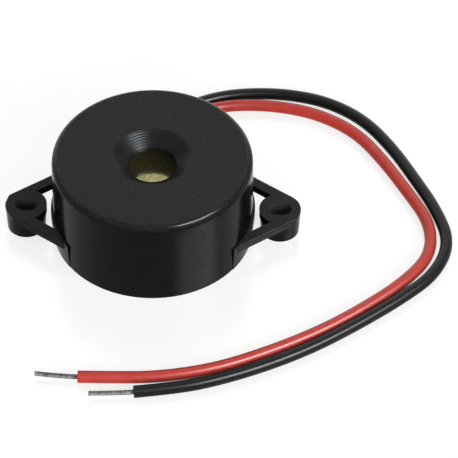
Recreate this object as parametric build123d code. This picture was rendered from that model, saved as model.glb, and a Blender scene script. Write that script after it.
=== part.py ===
# Piezo buzzer: a black moulded housing with a countersunk sound port and two slotted ears,
# closed from below by a glued-in cover, with a brass and ceramic disc, a driver board and
# two lead wires. Millimetres, +Z up, the origin at the centre of the base, the ears along X.
import os
from math import acos, atan2, cos, pi, radians, sin, tan

from build123d import *

os.makedirs("parts", exist_ok=True)

# Housing: the wall and the sound port
body_radius = 12.0
wall_draft = 0.09
lower_wall = 1.1
rim_radius = 0.9
base_edge_radius = 0.06
port_radius = 2.93
port_mouth_radius = 4.7
port_mouth_edge_radius = 0.12
countersink_depth = 1.37
port_land = 0.43
resonator_depth = 1.78

# Housing: the ears, with angles in degrees
ear_reach = 3.325
ear_height = 3.37
boss_radius = 2.52
boss_draft = 0.2
slot_length = 2.75
slot_width = 2.1
arm_width = 1.32
arm_thickness = 1.0
arm_meeting_angle = 32.0
pad_step = 0.31
pad_foot_step = 0.02
pad_half_angle = 36.0
ear_edge_radius = 0.12

# Back cover
cover_thickness = 1.2
cover_ring_height = 2.8
cover_ring_width = 1.0
cover_clearance = 0.1

# Sounder disc
disc_thickness = 0.2
disc_clearance = 0.3
ledge_overlap = 0.8
bare_ring_width = 2.4
ceramic_thickness = 0.2
electrode_thickness = 0.04
electrode_margin = 0.5
electrode_gap = 0.4
feedback_width = 2.4
feedback_length = 4.0
adhesive_height = 0.9
adhesive_overlap = 0.6

# Driver board, and the space that it leaves under the disc
board_thickness = 1.0
board_clearance = 0.15
board_step = 0.6
driver_space = 3.02
copper_thickness = 0.05
track_width = 0.5
pad_margin = 0.1

# Chip resistors
resistor_length = 2.0
resistor_width = 1.25
resistor_height = 0.5
resistor_cap = 0.35
resistor_relief = 0.03

# Transistor
transistor_length = 2.9
transistor_width = 1.3
transistor_height = 0.95
transistor_lift = 0.06
transistor_taper = 7.0
transistor_lead_width = 0.42
transistor_lead_thickness = 0.12
transistor_lead_reach = 0.6
transistor_lead_foot = 0.32
transistor_lead_pitch = 1.9
transistor_lead_bend = 0.1

# Solder joints and jumper wires
solder_foot_radius = 0.5
solder_neck_radius = 0.26
solder_height = 0.35
jumper_radius = 0.2
jumper_rise = 0.5
jumper_bend = 0.25

# Lead wires and their stripped strands
lead_radius = 0.74
lead_pair_gap = 0.08
lead_clearance = 0.06
lead_inner_length = 2.4
lead_straight_length = 0.9
inner_strip_length = 2.4
conductor_radius = 0.24
conductor_bend = 0.8
conductor_clearance = 0.1
notch_corner_radius = 0.5

# One overrun serves every cut
overrun = 1.0

# Heights, from the base up
board_bottom = cover_thickness + cover_ring_height
board_top = board_bottom + board_thickness
copper_top = board_top + copper_thickness
disc_bottom = board_top + driver_space
disc_top = disc_bottom + disc_thickness
ceramic_bottom = disc_bottom - ceramic_thickness
electrode_bottom = ceramic_bottom - electrode_thickness
resonator_top = disc_top + resonator_depth
countersink_foot = resonator_top + port_land
body_height = countersink_foot + countersink_depth

# Radii, from the outside in
foot_radius = body_radius + wall_draft
ear_centre = body_radius + ear_reach
boss_foot_radius = boss_radius - boss_draft
pad_radius = body_radius + pad_step
pad_foot_radius = foot_radius + pad_foot_step
mid_wall_radius = body_radius - lower_wall / 2
lower_bore_radius = body_radius - lower_wall
upper_bore_radius = lower_bore_radius - board_step
disc_radius = upper_bore_radius - disc_clearance
ledge_radius = disc_radius - ledge_overlap
adhesive_bore = disc_radius - adhesive_overlap
cover_radius = lower_bore_radius - cover_clearance
cover_ring_bore = cover_radius - cover_ring_width
board_radius = lower_bore_radius - board_clearance
ceramic_radius = adhesive_bore - bare_ring_width
electrode_radius = ceramic_radius - electrode_margin

# The leads at the rear, and the notch that lets them out over the cover's tongue
lead_offset = lead_radius + lead_pair_gap / 2
lead_height = cover_thickness + lead_clearance + lead_radius
lead_start = body_radius - lead_inner_length
lead_exit = body_radius + lead_straight_length
lead_joint = lead_start - inner_strip_length
notch_width = 2 * (lead_offset + lead_radius + lead_clearance)
notch_top = lead_height + lead_radius + lead_clearance

# Places on the board, as shares of its radius, with each resistor's turn in degrees
resistor_place_shares = ((0.36, 0.30, 90), (-0.34, 0.05, 90), (-0.36, -0.38, 0))
transistor_place_shares = (0.06, -0.06)
ground_pad_shares = (-0.62, 0.36)
main_pad_shares = (0.62, -0.02)
feedback_pad_shares = (-0.66, -0.34)
emitter_track_shares = ((-0.80, 0.10), (-0.78, -0.42), (-0.40, -0.72), (0.15, -0.55))

# Where the jumpers meet the disc: angles in degrees, and shares of the ceramic's radius
ground_joint_angle = 160.0
main_joint_angle = -25.0
main_joint_share = 0.55
feedback_angle = 205.0
feedback_joint_share = 0.62

# Form of a solder joint: how far its waist has drawn in, and how high up that is
solder_waist_shares = (0.30, 0.42)

# Each bend of a lead takes this share of the shorter of its two runs
bend_share = 0.45

# The leads' routes from the exit: down to the floor, round the right side and back to the front
red_route = (
    (1.85, 16.0, 1.2), (4.0, 18.55, 0.76), (7.0, 20.1, 0.76), (10.4, 20.7, 0.76), (15.2, 20.5, 0.76),
    (20.15, 19.1, 0.76), (24.7, 15.95, 0.76), (27.95, 11.15, 0.76), (30.85, 5.8, 0.76),
    (33.55, 0.45, 0.76), (33.5, -4.95, 0.76), (30.1, -9.6, 0.76), (25.4, -13.8, 0.76),
    (20.2, -17.7, 0.76), (14.2, -21.1, 0.76), (8.0, -23.9, 0.76), (1.6, -25.3, 0.76),
    (-3.4, -25.5, 0.76), (-7.9, -25.5, 0.76),
)
black_route = (
    (0.6, 17.0, 1.2), (3.4, 20.05, 0.76), (7.2, 22.0, 0.76), (11.6, 22.8, 0.76), (16.4, 22.65, 0.76),
    (21.1, 21.4, 0.76), (25.55, 18.35, 0.76), (29.05, 13.4, 0.76), (31.75, 8.1, 0.76),
    (34.25, 2.9, 0.76), (35.85, -2.7, 0.76), (33.95, -8.05, 0.76), (29.85, -12.1, 0.76),
    (25.0, -16.1, 0.76), (19.4, -20.2, 0.76), (13.2, -23.6, 0.76), (6.85, -26.15, 0.76),
    (2.4, -27.15, 0.76), (-1.3, -27.7, 0.76),
)
red_strands = ((-9.5, -25.5, 0.76), (-12.9, -25.1, 0.76))
black_strands = ((-2.9, -27.94, 0.76), (-6.5, -28.05, 0.76))


def save(name, *shapes):
    piece = shapes[0] if len(shapes) == 1 else Compound(children=list(shapes))
    piece.label = name
    export_step(piece, f"parts/{name}.step")


def on_circle(radius, angle):
    return radius * cos(radians(angle)), radius * sin(radians(angle))


def on_board(shares):
    return board_radius * shares[0], board_radius * shares[1]


def disc(radius, bottom, top):
    return extrude(Pos(0, 0, bottom) * Circle(radius), top - bottom)


def turned(corners, corner_radii):
    radii = [corner_radii.get(corner, 0) for corner in corners]
    points = [(radius, 0, height) for radius, height in corners]
    return revolve(make_face(FilletPolyline(*points, radius=radii, close=True)), Axis.Z)


def wire(path, radius):
    return sweep(Plane(origin=path @ 0, z_dir=path % 0) * Circle(radius), path=path)


# Housing: the turned cup, with the ledge for the disc and the step for the board


def cup():
    foot = (foot_radius, 0)
    rim = (body_radius, body_height)
    mouth = (port_mouth_radius, body_height)
    corners = (
        (lower_bore_radius, 0), foot, rim, mouth, (port_radius, countersink_foot),
        (port_radius, resonator_top), (ledge_radius, resonator_top), (ledge_radius, disc_top),
        (upper_bore_radius, disc_top), (upper_bore_radius, board_top), (lower_bore_radius, board_top),
    )
    return turned(corners, {foot: base_edge_radius, rim: rim_radius, mouth: port_mouth_edge_radius})


# Ears: a slotted boss between two arms that touch it, and a proud pad on the wall behind them


def ear_plan():
    boss = Vector(ear_centre, 0)
    root = Vector(*on_circle(pad_radius, arm_meeting_angle))
    reach = root - boss
    tangent_angle = atan2(reach.Y, reach.X) - acos(boss_radius / reach.length)
    normal = Vector(cos(tangent_angle), sin(tangent_angle))
    touch = boss + normal * boss_radius
    apex = boss.X + (boss_radius - arm_width) / normal.X
    spread = apex * normal.X / normal.Y
    outline = make_face(Polyline((0, 0), (root.X, -root.Y), (touch.X, -touch.Y), touch, root, close=True))
    between_arms = make_face(Polyline((apex, 0), (0, spread), (0, -spread), close=True))
    window = between_arms - Pos(boss.X, 0) * Circle(boss_radius) - Circle(pad_radius)
    return outline - window - Circle(mid_wall_radius)


def ear():
    arms = extrude(Pos(0, 0, ear_height - arm_thickness) * ear_plan(), arm_thickness)
    whole = arms + Pos(ear_centre, 0, ear_height / 2) * Cone(boss_foot_radius, boss_radius, ear_height)
    top = whole.faces().sort_by(Axis.Z)[-1]
    outer_edges = [edge for edge in top.outer_wire().edges() if edge.center().X > body_radius]
    return fillet(outer_edges, ear_edge_radius)


def pad():
    foot = (pad_foot_radius, 0)
    brow = (pad_radius, ear_height)
    ring = turned(((mid_wall_radius, 0), foot, brow, (mid_wall_radius, ear_height)), {})
    far = 2 * pad_radius
    sector = Polyline((0, 0), on_circle(far, -pad_half_angle), on_circle(far, pad_half_angle), close=True)
    return ring & extrude(make_face(sector), ear_height)


def slot():
    plan = Pos(ear_centre, 0, -overrun) * SlotOverall(slot_length, slot_width)
    return extrude(plan, ear_height + 2 * overrun)


def notch():
    opening = fillet(Rectangle(notch_width, 2 * notch_top).vertices(), notch_corner_radius)
    outside = body_radius + overrun
    return extrude(Plane.XZ.offset(-outside) * opening, outside - ledge_radius)


def housing():
    body = cup() - notch()
    for turn in (0, 180):
        body = body + Rot(0, 0, turn) * (ear() + pad())
        body = body - Rot(0, 0, turn) * slot()
    return body


# Back cover: a plate, a ring under the board's edge and a tongue that fills the notch below the leads


def back_cover():
    plate = disc(cover_radius, 0, cover_thickness)
    ring = disc(cover_radius, cover_thickness, board_bottom) - disc(cover_ring_bore, 0, board_bottom)
    to_rear = (Align.CENTER, Align.MIN, Align.MIN)
    gap = Box(notch_width, body_radius - cover_ring_bore + overrun, cover_ring_height, align=to_rear)
    tongue = Box(notch_width - 2 * cover_clearance, body_radius, cover_thickness, align=to_rear)
    tongue = tongue & disc(body_radius, 0, cover_thickness)
    return plate + (ring - Pos(0, cover_ring_bore - overrun, cover_thickness) * gap) + tongue


# Sounder: brass, ceramic, the two silver areas and the ring of adhesive


def feedback_plan(growth):
    plan = SlotOverall(2 * (feedback_length + growth), feedback_width + 2 * growth)
    return Circle(electrode_radius) & Rot(0, 0, feedback_angle) * Pos(electrode_radius, 0) * plan


def electrode(plan):
    return extrude(Pos(0, 0, electrode_bottom) * plan, electrode_thickness)


def disc_adhesive():
    bead_foot = disc_top - adhesive_height
    corners = (
        (disc_radius, disc_top), (upper_bore_radius, disc_top), (upper_bore_radius, bead_foot),
        (adhesive_bore, disc_bottom), (disc_radius, disc_bottom),
    )
    return turned(corners, {})


# Driver board: one copper side, facing the disc

lead_joints = ((lead_offset, lead_joint), (-lead_offset, lead_joint))
ground_pad = on_board(ground_pad_shares)
main_pad = on_board(main_pad_shares)
feedback_pad = on_board(feedback_pad_shares)
transistor_place = on_board(transistor_place_shares)
resistor_places = [Pos(*on_board(shares)) * Rot(0, 0, shares[2]) for shares in resistor_place_shares]
terminal_offset = (resistor_length - resistor_cap) / 2
transistor_foot = transistor_width / 2 + transistor_lead_reach - transistor_lead_foot / 2


def circuit_board():
    board = disc(board_radius, board_bottom, board_top)
    for place in lead_joints:
        board = board - Pos(*place) * disc(conductor_radius + conductor_clearance, 0, copper_top)
    return board


def terminal(number, side):
    return (resistor_places[number] * Pos(side * terminal_offset, 0)).position


def transistor_pin(column, side):
    x = transistor_place[0] + column * transistor_lead_pitch / 2
    return Vector(x, transistor_place[1] + side * transistor_foot)


def copper_tracks():
    collector, base, emitter = transistor_pin(0, 1), transistor_pin(-1, -1), transistor_pin(1, -1)
    red_joint, black_joint = lead_joints
    routes = [
        (red_joint, terminal(0, 1)), (terminal(0, -1), main_pad), (terminal(0, -1), collector),
        (collector, terminal(1, 1)), (terminal(1, -1), base), (terminal(2, 1), base),
        (terminal(2, -1), feedback_pad),
        (black_joint, ground_pad, *[on_board(shares) for shares in emitter_track_shares], emitter),
    ]
    plan = Sketch()
    for route in routes:
        plan = plan + trace(Polyline(*route), track_width)
    chip_pad = Rectangle(resistor_cap + 2 * pad_margin, resistor_width + 2 * pad_margin)
    for place in resistor_places:
        for side in (-1, 1):
            plan = plan + place * Pos(side * terminal_offset, 0) * chip_pad
    for pin in (collector, base, emitter):
        size = transistor_lead_width + 2 * pad_margin
        plan = plan + Pos(pin) * Rectangle(size, transistor_lead_foot + 2 * pad_margin)
    for place in (*lead_joints, ground_pad, main_pad, feedback_pad):
        plan = plan + Pos(*place) * Circle(solder_foot_radius + pad_margin)
    for place in lead_joints:
        plan = plan - Pos(*place) * Circle(conductor_radius + conductor_clearance)
    return extrude(Pos(0, 0, board_top) * plan, copper_thickness).solids()


def resistor_pieces():
    seat = Pos(0, 0, copper_top)
    on_seat = (Align.CENTER, Align.CENTER, Align.MIN)
    body_length = resistor_length - 2 * resistor_cap
    chip_height = resistor_height - 2 * resistor_relief
    body = Pos(0, 0, resistor_relief) * Box(body_length, resistor_width, chip_height, align=on_seat)
    cap = Box(resistor_cap, resistor_width, resistor_height, align=on_seat)
    bodies = [seat * place * body for place in resistor_places]
    shifts = [place * Pos(side * terminal_offset, 0) for place in resistor_places for side in (-1, 1)]
    caps = [seat * shift * cap for shift in shifts]
    return bodies, caps


def transistor_pieces():
    middle = copper_top + transistor_lift + transistor_height / 2
    plan = Rectangle(transistor_length, transistor_width)
    half = extrude(plan, transistor_height / 2, taper=transistor_taper)
    body = Pos(*transistor_place, middle) * (half + mirror(half, Plane.XY))
    sole = copper_top + transistor_lead_thickness / 2
    shoulder = transistor_width / 2 + transistor_lead_reach - transistor_lead_foot
    toe = transistor_width / 2 + transistor_lead_reach
    leads = []
    for column, side in ((0, 1), (-1, -1), (1, -1)):
        pin = transistor_pin(column, side)
        reaches = ((transistor_width / 2, middle), (shoulder, middle), (shoulder, sole), (toe, sole))
        points = [(pin.X, transistor_place[1] + side * reach, height) for reach, height in reaches]
        path = FilletPolyline(*points, radius=transistor_lead_bend)
        plane = Plane(origin=path @ 0, x_dir=(1, 0, 0), z_dir=path % 0)
        section = plane * Rectangle(transistor_lead_width, transistor_lead_thickness)
        leads.append(sweep(section, path=path))
    return body, leads


# Solder joints, and the jumper wires that run between them


def solder_joint():
    foot = (solder_foot_radius, 0, 0)
    neck = (solder_neck_radius, 0, solder_height)
    drawn = solder_neck_radius + solder_waist_shares[0] * (solder_foot_radius - solder_neck_radius)
    waist = (drawn, 0, solder_waist_shares[1] * solder_height)
    side = ThreePointArc(foot, waist, neck)
    rest = Polyline(neck, (0, 0, solder_height), (0, 0, 0), foot)
    return revolve(make_face([*side.edges(), *rest.edges()]), Axis.Z)


ground_joint = on_circle(ceramic_radius + bare_ring_width / 2, ground_joint_angle)
main_joint = on_circle(main_joint_share * ceramic_radius, main_joint_angle)
feedback_joint = on_circle(feedback_joint_share * ceramic_radius, feedback_angle)
jumpers = {
    "ground_jumper": (ground_pad, ground_joint, disc_bottom),
    "main_jumper": (main_pad, main_joint, electrode_bottom),
    "feedback_jumper": (feedback_pad, feedback_joint, electrode_bottom),
}


def jumper(pad_place, joint_place, ceiling):
    bottom = copper_top + solder_height
    top = ceiling - solder_height
    points = (
        (*pad_place, bottom), (*pad_place, bottom + jumper_rise),
        (*joint_place, top - jumper_rise), (*joint_place, top),
    )
    return wire(FilletPolyline(*points, radius=jumper_bend), jumper_radius)


# Leads: tubes along straight runs and the largest arcs that fit, with bare strands at both ends


def corner_radii(points):
    radii = []
    for before, corner, after in zip(points, points[1:], points[2:]):
        arriving = Vector(corner) - Vector(before)
        leaving = Vector(after) - Vector(corner)
        turn = radians(arriving.get_angle(leaving))
        radii.append(bend_share * min(arriving.length, leaving.length) / tan(turn / 2))
    return radii


def lead(name, side, route):
    x = side * lead_offset
    points = ((x, lead_start, lead_height), (x, lead_exit, lead_height), *route)
    radii = corner_radii(points)
    path = FilletPolyline(*points, radius=radii)
    tube = wire(path, lead_radius)
    print(name, "radii", [round(radius, 1) for radius in radii])
    plain_volume = pi * lead_radius**2 * path.length
    print(name, "length", round(path.length, 2), "volume ratio", round(tube.volume / plain_volume, 5))
    return tube


def conductor(side, route, strands):
    far_points = (route[-1], *strands)
    far_end = wire(FilletPolyline(*far_points, radius=corner_radii(far_points)), conductor_radius)
    x = side * lead_offset
    near_points = ((x, lead_start, lead_height), (x, lead_joint, lead_height), (x, lead_joint, copper_top))
    near_end = wire(FilletPolyline(*near_points, radius=conductor_bend), conductor_radius)
    return far_end, near_end


save("housing", housing())
save("back_cover", back_cover())
save("brass_disc", disc(disc_radius, disc_bottom, disc_top))
save("piezo_ceramic", disc(ceramic_radius, ceramic_bottom, disc_bottom))
save("main_electrode", electrode(Circle(electrode_radius) - feedback_plan(electrode_gap)))
save("feedback_electrode", electrode(feedback_plan(0)))
save("disc_adhesive", disc_adhesive())
save("circuit_board", circuit_board())
save("copper_tracks", *copper_tracks())

resistor_bodies, resistor_terminals = resistor_pieces()
save("resistor_bodies", *resistor_bodies)
save("resistor_terminals", *resistor_terminals)
transistor_body, transistor_leads = transistor_pieces()
save("transistor_body", transistor_body)
save("transistor_leads", *transistor_leads)

joint = solder_joint()
board_joints = (*lead_joints, ground_pad, main_pad, feedback_pad)
save("board_solder", *[Pos(*place, copper_top) * joint for place in board_joints])
hanging_joint = Rot(180, 0, 0) * joint
save("disc_solder", *[Pos(*place, ceiling) * hanging_joint for _, place, ceiling in jumpers.values()])
for name, ends in jumpers.items():
    save(name, jumper(*ends))

save("red_lead", lead("red_lead", 1, red_route))
save("black_lead", lead("black_lead", -1, black_route))
save("red_conductor", *conductor(1, red_route, red_strands))
save("black_conductor", *conductor(-1, black_route, black_strands))
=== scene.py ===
# Dresses the piezo buzzer: the camera, the two lead wires, every finish, the floor and the lights.
import math

import bpy
from mathutils import Matrix, Vector


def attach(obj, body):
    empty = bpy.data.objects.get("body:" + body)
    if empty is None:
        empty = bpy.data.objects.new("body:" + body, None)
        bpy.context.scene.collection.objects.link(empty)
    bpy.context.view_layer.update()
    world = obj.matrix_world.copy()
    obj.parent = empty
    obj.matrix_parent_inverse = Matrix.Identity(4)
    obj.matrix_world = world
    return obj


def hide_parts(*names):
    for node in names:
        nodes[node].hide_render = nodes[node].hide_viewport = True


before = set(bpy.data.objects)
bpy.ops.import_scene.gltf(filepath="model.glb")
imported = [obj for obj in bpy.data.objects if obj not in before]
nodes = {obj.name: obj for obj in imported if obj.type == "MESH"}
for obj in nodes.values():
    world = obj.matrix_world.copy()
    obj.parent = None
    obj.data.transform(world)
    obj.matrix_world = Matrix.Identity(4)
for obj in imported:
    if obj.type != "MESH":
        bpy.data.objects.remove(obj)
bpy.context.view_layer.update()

# Lengths below are written in millimetres unless a comment says metres. The scene is in metres.
mm = 0.001

# Camera: its place, its aim in degrees, its focal length in the photograph's pixels
photo_width_px = 458
focal_length_px = 3727.0
sensor_width = 36.0
camera_place = (14.507, -315.714, 322.845)
camera_tilt = 45.664
camera_pan = -0.967
camera_roll = 0.333

# Lead wires: radius, places inside the housing, routes to the far ends
lead_radius = 0.74
lead_offset = 0.78
lead_height = 2.0
lead_start = 9.6
lead_exit = 12.9
lead_joint = 7.2
board_top = 5.05
red_route = (
    (1.85, 16.0, 1.2), (4.0, 18.55, 0.76), (7.0, 20.1, 0.76), (10.4, 20.7, 0.76), (15.2, 20.5, 0.76),
    (20.15, 19.1, 0.76), (24.7, 15.95, 0.76), (27.95, 11.15, 0.76), (30.85, 5.8, 0.76),
    (33.55, 0.45, 0.76), (33.5, -4.95, 0.76), (30.1, -9.6, 0.76), (25.4, -13.8, 0.76),
    (20.2, -17.7, 0.76), (14.2, -21.1, 0.76), (8.0, -23.9, 0.76), (1.6, -25.3, 0.76),
    (-3.4, -25.5, 0.76), (-7.9, -25.5, 0.76),
)
black_route = (
    (0.6, 17.0, 1.2), (3.4, 20.05, 0.76), (7.2, 22.0, 0.76), (11.6, 22.8, 0.76), (16.4, 22.65, 0.76),
    (21.1, 21.4, 0.76), (25.55, 18.35, 0.76), (29.05, 13.4, 0.76), (31.75, 8.1, 0.76),
    (34.25, 2.9, 0.76), (35.85, -2.7, 0.76), (33.95, -8.05, 0.76), (29.85, -12.1, 0.76),
    (25.0, -16.1, 0.76), (19.4, -20.2, 0.76), (13.2, -23.6, 0.76), (6.85, -26.15, 0.76),
    (2.4, -27.15, 0.76), (-1.3, -27.7, 0.76),
)
red_tail = ((-9.5, -25.5, 0.76), (-12.9, -25.1, 0.76))
black_tail = ((-2.9, -27.94, 0.76), (-6.5, -28.05, 0.76))
curve_steps = 10
tube_rounding = 6

# Bare strands: the outer ones are laid round one in the middle
outer_strands = 6
strand_radius = 0.1
strand_lay = 3.0

# Noise: the span of values that most of it lies in, how many octaves, and how much coarser the colour is
noise_span = (0.3, 0.7)
noise_detail = 3.0
coarse_share = 6

# Housing: etched where it faces up, rough in the ears' slots, with painted light on the slots' walls, turned
# in the sound port, polished elsewhere.
# The edges are the distances, from a slot's centre or the axis, over which one finish gives way to the next.
ear_centre = 15.325
slot_edge = (1.7, 1.8)
port_edge = (4.66, 4.74)
etched_colours = ((13, 13, 13), (52, 52, 52))
# The slots' walls take a paler colour: painted light on them
painted_slot_light_colours = ((36, 36, 36), (76, 76, 76))
turned_colours = ((28, 28, 29), (34, 34, 35))
polished_colours = ((11, 11, 12), (15, 15, 16))
etched_roughness = (0.6, 0.72)
turned_roughness = (0.29, 0.37)
polished_roughness = (0.17, 0.22)

# How far up a face points, from 0 to 1, while the etched colour and then the etched surface come in. The
# colour comes in lower than the surface, so the rounded rim is lighter than its polish alone: painted sheen
# along the rim.
etched_colour_and_rim_sheen_span = (0.1, 0.9)
etched_surface_span = (0.9, 0.99)

# Housing's noise and relief: the sizes and depths of its etching, peel and turning, which deepens outwards
grain_size = 0.2
mottle_size = 0.9
etching_span = (0.2, 0.8)
etching_depth = 0.02
peel_size = 2.5
peel_detail = 1.0
peel_depth = 0.002
turning_pitch = 0.26
turning_reach = (3.2, 4.3)
turning_depth = (0.001, 0.006)

# Plain finishes: two colours as they look on screen, roughness, grain size, depth of relief, shader constants
plain_finishes = {
    "cover_plastic": ((16, 16, 16), (22, 22, 22), (0.4, 0.5), 0.15, 0.004, {}),
    "brass": (
        (104, 96, 61), (138, 137, 97), (0.1, 0.16), 0.05, 0.0002,
        {"Metallic": 0.6, "Specular IOR Level": 0.1},
    ),
    "ceramic": ((190, 178, 150), (204, 192, 164), (0.6, 0.7), 0.1, 0.002, {}),
    "silver": ((190, 188, 182), (206, 204, 198), (0.35, 0.5), 0.1, 0.002, {"Metallic": 1.0}),
    "adhesive": ((196, 194, 186), (214, 212, 204), (0.35, 0.5), 0.3, 0.01, {}),
    "board": ((150, 128, 80), (170, 148, 96), (0.5, 0.6), 0.2, 0.006, {}),
    "copper": ((46, 96, 58), (56, 112, 68), (0.3, 0.4), 0.2, 0.003, {}),
    "resistor": ((22, 22, 24), (32, 32, 34), (0.3, 0.4), 0.1, 0.002, {}),
    "epoxy": ((24, 24, 25), (30, 30, 31), (0.5, 0.6), 0.08, 0.004, {}),
    "solder": ((176, 176, 178), (196, 196, 198), (0.2, 0.34), 0.15, 0.004, {"Metallic": 1.0}),
    "jumper_black": ((26, 26, 27), (32, 32, 33), (0.36, 0.46), 0.15, 0.002, {}),
    "jumper_red": ((176, 40, 36), (190, 48, 44), (0.36, 0.46), 0.15, 0.002, {}),
    "jumper_blue": ((36, 62, 140), (44, 72, 156), (0.36, 0.46), 0.15, 0.002, {}),
    "red_insulation": ((199, 60, 51), (207, 68, 59), (0.3, 0.38), 0.2, 0.003, {"Specular IOR Level": 0.18}),
    "black_insulation": ((19, 19, 20), (25, 25, 26), (0.28, 0.36), 0.2, 0.003, {"Specular IOR Level": 0.1}),
    # The strands' coarse light and dark patches are painted light and shade of their twist
    "strands": (
        (70, 70, 70), (128, 128, 127), (0.4, 0.52), 0.07, 0.003,
        {"Metallic": 0.3, "Specular IOR Level": 0.1},
    ),
}

# Floor: half its width in metres, how far it lies below the base, and its glow
floor_half = 3.0
floor_drop = 0.02
floor_glow = 0.75

# Light of the surroundings, and how far away every lamp is, in metres
world_light = 0.35
lamp_distance = 0.6


def add_camera():
    lens = bpy.data.cameras.new("camera")
    lens.sensor_width = sensor_width
    lens.lens = sensor_width * focal_length_px / photo_width_px
    camera = bpy.data.objects.new("camera", lens)
    bpy.context.scene.collection.objects.link(camera)
    aim = Matrix.Rotation(math.radians(-camera_pan), 4, "Z")
    aim = aim @ Matrix.Rotation(math.radians(90 - camera_tilt), 4, "X")
    aim = aim @ Matrix.Rotation(math.radians(camera_roll), 4, "Z")
    camera.matrix_world = Matrix.Translation(Vector(camera_place) * mm) @ aim
    bpy.context.scene.camera = camera


# Lead wires


def smooth_spline(curve, points, radius):
    spline = curve.splines.new("NURBS")
    spline.points.add(len(points) - 1)
    for place, point in zip(spline.points, points):
        place.co = (*(Vector(point) * mm), 1)
        place.radius = radius * mm
    spline.order_u = 3
    spline.use_endpoint_u = True


def curve_piece(name, radius, routes):
    curve = bpy.data.curves.new(name, "CURVE")
    curve.dimensions = "3D"
    curve.resolution_u = curve_steps
    curve.bevel_depth = 1.0 if radius else 0.0
    curve.bevel_resolution = tube_rounding
    curve.use_fill_caps = True
    for route in routes:
        smooth_spline(curve, route, radius)
    piece = bpy.data.objects.new(name, curve)
    bpy.context.scene.collection.objects.link(piece)
    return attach(piece, "root")


def line_of(points):
    guide = curve_piece("guide", 0, [points])
    mesh = bpy.data.meshes.new_from_object(guide)
    line = [vertex.co / mm for vertex in mesh.vertices]
    bpy.data.meshes.remove(mesh)
    bpy.data.objects.remove(guide)
    return line


def strand_routes(points):
    line = line_of(points)
    core, spread = [], [[] for _ in range(outer_strands)]
    travelled = 0.0
    side = None
    for number, place in enumerate(line):
        ahead = line[min(number + 1, len(line) - 1)]
        behind = line[max(number - 1, 0)]
        travelled += (place - behind).length
        along = (ahead - behind).normalized()
        # Blender may turn the square direction round between two places, which would break the twist
        across = along.orthogonal().normalized()
        side = -across if side is not None and across.dot(side) < 0 else across
        core.append(place)
        for strand, route in enumerate(spread):
            turn = 2 * math.pi * (strand / outer_strands + travelled / strand_lay)
            offset = Matrix.Rotation(turn, 3, along) @ side * (2 * strand_radius)
            route.append(place + offset)
    return [core, *spread]


def add_lead(colour, side, route, tail):
    x = side * lead_offset
    start = ((x, lead_start, lead_height), (x, lead_exit, lead_height))
    lead = curve_piece(f"{colour}_insulation", lead_radius, [start + route])
    inner_end = ((x, lead_start, lead_height), (x, lead_joint, lead_height), (x, lead_joint, board_top))
    routes = strand_routes((route[-1], *tail)) + strand_routes(inner_end)
    strands = curve_piece(f"{colour}_strands", strand_radius, routes)
    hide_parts(f"{colour}_lead")
    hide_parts(f"{colour}_conductor")
    return lead, strands


# Finishes


def screen_colour(red, green, blue):
    shares = [channel / 255 for channel in (red, green, blue)]
    linear = [s / 12.92 if s <= 0.04045 else ((s + 0.055) / 1.055) ** 2.4 for s in shares]
    return (*linear, 1.0)


def new_finish(name, constants):
    finish = bpy.data.materials.new(name)
    finish.use_nodes = True
    shader = finish.node_tree.nodes["Principled BSDF"]
    for socket, value in constants.items():
        shader.inputs[socket].default_value = value
    return finish, shader


def add_node(finish, kind, inputs=None, **settings):
    node = finish.node_tree.nodes.new("ShaderNode" + kind)
    for name, value in settings.items():
        setattr(node, name, value)
    for socket, value in (inputs or {}).items():
        if isinstance(value, bpy.types.NodeSocket):
            finish.node_tree.links.new(value, node.inputs[socket])
        else:
            node.inputs[socket].default_value = value
    return node


def link(finish, output, shader, socket):
    finish.node_tree.links.new(output, shader.inputs[socket])


def compute(finish, operation, first, second=0.0, **settings):
    return add_node(finish, "Math", {0: first, 1: second}, operation=operation, **settings).outputs[0]


def distance(finish, first, second):
    flat = add_node(finish, "CombineXYZ", {"X": first, "Y": second}).outputs["Vector"]
    return add_node(finish, "VectorMath", {0: flat}, operation="LENGTH").outputs["Value"]


def noise(finish, place, size, detail=noise_detail):
    inputs = {"Vector": place, "Scale": 1 / (size * mm), "Detail": detail}
    return add_node(finish, "TexNoise", inputs).outputs["Fac"]


def stretch(finish, value, span, result):
    inputs = {
        "Value": value, "From Min": span[0], "From Max": span[1], "To Min": result[0], "To Max": result[1],
    }
    return add_node(finish, "MapRange", inputs).outputs["Result"]


def ramp(finish, value, colours):
    node = add_node(finish, "ValToRGB", {"Fac": value})
    for element, position, colour in zip(node.color_ramp.elements, noise_span, colours):
        element.position = position
        element.color = screen_colour(*colour)
    return node.outputs["Color"]


# Blender's Mix node takes values at sockets 2 and 3, to output 0, and colours at sockets 6 and 7, to output 2
def mix_value(finish, share, first, second):
    return add_node(finish, "Mix", {0: share, 2: first, 3: second}, data_type="FLOAT").outputs[0]


def mix_colour(finish, share, first, second):
    return add_node(finish, "Mix", {0: share, 6: first, 7: second}, data_type="RGBA").outputs[2]


def metres(lengths):
    return [length * mm for length in lengths]


def plain_finish(name, first, second, roughness, grain, depth, constants):
    finish, shader = new_finish(name, constants)
    place = add_node(finish, "TexCoord").outputs["Object"]
    coarse = noise(finish, place, coarse_share * grain)
    fine = noise(finish, place, grain)
    link(finish, ramp(finish, coarse, (first, second)), shader, "Base Color")
    link(finish, stretch(finish, fine, noise_span, roughness), shader, "Roughness")
    bump = add_node(finish, "Bump", {"Strength": 1.0, "Distance": depth * mm, "Height": fine})
    link(finish, bump.outputs["Normal"], shader, "Normal")
    return finish


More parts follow.
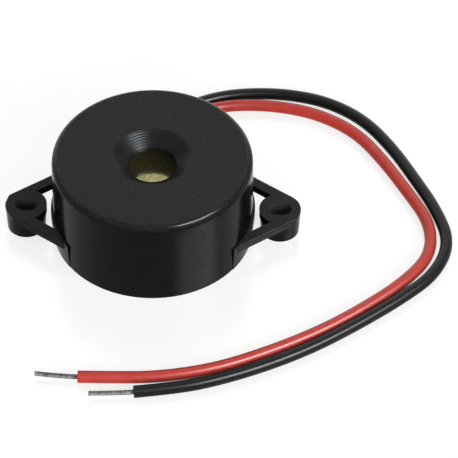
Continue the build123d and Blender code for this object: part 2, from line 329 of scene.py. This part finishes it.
def housing_finish():
    constants = {"Specular IOR Level": 0.06, "Specular Tint": (0.86, 0.94, 1.0, 1.0)}
    finish, shader = new_finish("housing_plastic", constants)
    place = add_node(finish, "TexCoord").outputs["Object"]
    axes = add_node(finish, "SeparateXYZ", {"Vector": place}).outputs
    normal = add_node(finish, "NewGeometry").outputs["Normal"]
    upward = add_node(finish, "SeparateXYZ", {"Vector": normal}).outputs["Z"]
    grain = noise(finish, place, grain_size)
    mottle = noise(finish, place, mottle_size)

    reach = distance(finish, axes["X"], axes["Y"])
    in_port = stretch(finish, reach, metres(port_edge), (1.0, 0.0))
    from_slot = compute(finish, "SUBTRACT", compute(finish, "ABSOLUTE", axes["X"]), ear_centre * mm)
    in_slot = stretch(finish, distance(finish, from_slot, axes["Y"]), metres(slot_edge), (1.0, 0.0))
    level = stretch(finish, upward, etched_surface_span, (0.0, 1.0))
    matte = compute(finish, "MAXIMUM", level, in_slot)
    # The etched colour reaches down the rounded rim, below the etching itself: painted sheen along the rim
    etched_and_rim_sheen_share = stretch(finish, upward, etched_colour_and_rim_sheen_span, (0.0, 1.0))
    # The walls inside the slots, but not their upward faces, take the paler colour: painted light
    painted_slot_light_share = compute(finish, "SUBTRACT", in_slot, etched_and_rim_sheen_share, use_clamp=True)

    polished = ramp(finish, mottle, polished_colours)
    etched = ramp(finish, grain, etched_colours)
    # Etched colour on the top, and painted sheen on the rounded rim
    skin = mix_colour(finish, etched_and_rim_sheen_share, polished, etched)
    # Painted light on the slots' walls
    skin = mix_colour(finish, painted_slot_light_share, skin, ramp(finish, grain, painted_slot_light_colours))
    skin = mix_colour(finish, in_port, skin, ramp(finish, mottle, turned_colours))
    link(finish, skin, shader, "Base Color")

    polish = stretch(finish, mottle, noise_span, polished_roughness)
    etch = stretch(finish, grain, noise_span, etched_roughness)
    gloss = mix_value(finish, matte, polish, etch)
    gloss = mix_value(finish, in_port, gloss, stretch(finish, mottle, noise_span, turned_roughness))
    link(finish, gloss, shader, "Roughness")

    rings = compute(finish, "SINE", compute(finish, "MULTIPLY", reach, 2 * math.pi / (turning_pitch * mm)))
    deepening = stretch(finish, reach, metres(turning_reach), metres(turning_depth))
    turning = compute(finish, "MULTIPLY", rings, compute(finish, "MULTIPLY", in_port, deepening))
    swell = noise(finish, place, peel_size, peel_detail)
    peel = stretch(finish, swell, (0.0, 1.0), metres((0.0, peel_depth)))
    etching = stretch(finish, grain, etching_span, metres((0.0, etching_depth)))
    relief = mix_value(finish, matte, compute(finish, "ADD", peel, turning), etching)
    bump = add_node(finish, "Bump", {"Strength": 1.0, "Distance": 1.0, "Height": relief})
    link(finish, bump.outputs["Normal"], shader, "Normal")
    return finish


# Floor, surroundings and lights


def seen_directly(finish, strength):
    path = add_node(finish, "LightPath")
    seen = path.outputs["Is Camera Ray"]
    for ray in ("Is Glossy Ray", "Is Transmission Ray"):
        seen = compute(finish, "MAXIMUM", seen, path.outputs[ray])
    return compute(finish, "MULTIPLY", seen, strength)


def add_floor():
    low, high = -floor_half, floor_half
    corners = [(low, low, 0), (high, low, 0), (high, high, 0), (low, high, 0)]
    mesh = bpy.data.meshes.new("floor")
    mesh.from_pydata(corners, [], [(0, 1, 2, 3)])
    floor = bpy.data.objects.new("floor", mesh)
    floor.location.z = -floor_drop * mm
    bpy.context.scene.collection.objects.link(floor)
    constants = {
        "Base Color": (0.3, 0.3, 0.3, 1), "Roughness": 0.2, "Specular IOR Level": 0.3,
        "Emission Color": (1, 1, 1, 1),
    }
    finish, shader = new_finish("floor", constants)
    link(finish, seen_directly(finish, floor_glow), shader, "Emission Strength")
    mesh.materials.append(finish)


def add_world():
    world = bpy.data.worlds.new("surroundings")
    bpy.context.scene.world = world
    world.use_nodes = True
    background = world.node_tree.nodes["Background"]
    background.inputs["Color"].default_value = (1, 1, 1, 1)
    strength = compute(world, "ADD", seen_directly(world, 1 - world_light), world_light)
    link(world, strength, background, "Strength")


def add_light(name, azimuth, elevation, width, height, power):
    lamp = bpy.data.lights.new(name, "AREA")
    lamp.shape = "RECTANGLE"
    lamp.size, lamp.size_y = width, height
    lamp.energy = power
    light = bpy.data.objects.new(name, lamp)
    bpy.context.scene.collection.objects.link(light)
    turn, lift = math.radians(azimuth), math.radians(elevation)
    direction = Vector((math.sin(turn) * math.cos(lift), -math.cos(turn) * math.cos(lift), math.sin(lift)))
    light.location = direction * lamp_distance
    light.rotation_euler = direction.to_track_quat("Z", "Y").to_euler()
    return light


add_camera()
red_lead, red_strands = add_lead("red", 1, red_route, red_tail)
black_lead, black_strands = add_lead("black", -1, black_route, black_tail)

finishes = {"housing_plastic": housing_finish()}
for name, values in plain_finishes.items():
    finishes[name] = plain_finish(name, *values)
for node in nodes.values():
    slot = node.data.materials[0].name.split(".")[0]
    node.data.materials[0] = finishes[slot]
for piece, slot in (
    (red_lead, "red_insulation"), (black_lead, "black_insulation"),
    (red_strands, "strands"), (black_strands, "strands"),
):
    piece.data.materials.append(finishes[slot])

add_floor()
add_world()

# Angles in degrees, from the front and up from the floor; sizes in metres; power in watts.
# The front light gives no reflection, and the two gleams give nothing else.
front_light = add_light("front_light", azimuth=6, elevation=22, width=0.5, height=0.3, power=1.7)
front_light.visible_glossy = False
add_light("right_light", azimuth=52, elevation=28, width=0.3, height=0.2, power=1.2)
back_gleam = add_light("back_gleam", azimuth=188, elevation=36, width=1.1, height=0.9, power=5.4)
back_gleam.visible_diffuse = False
high_gleam = add_light("high_gleam", azimuth=53, elevation=45, width=0.34, height=0.1, power=14)
high_gleam.visible_diffuse = False
bpy.context.scene.view_settings.view_transform = "Standard"
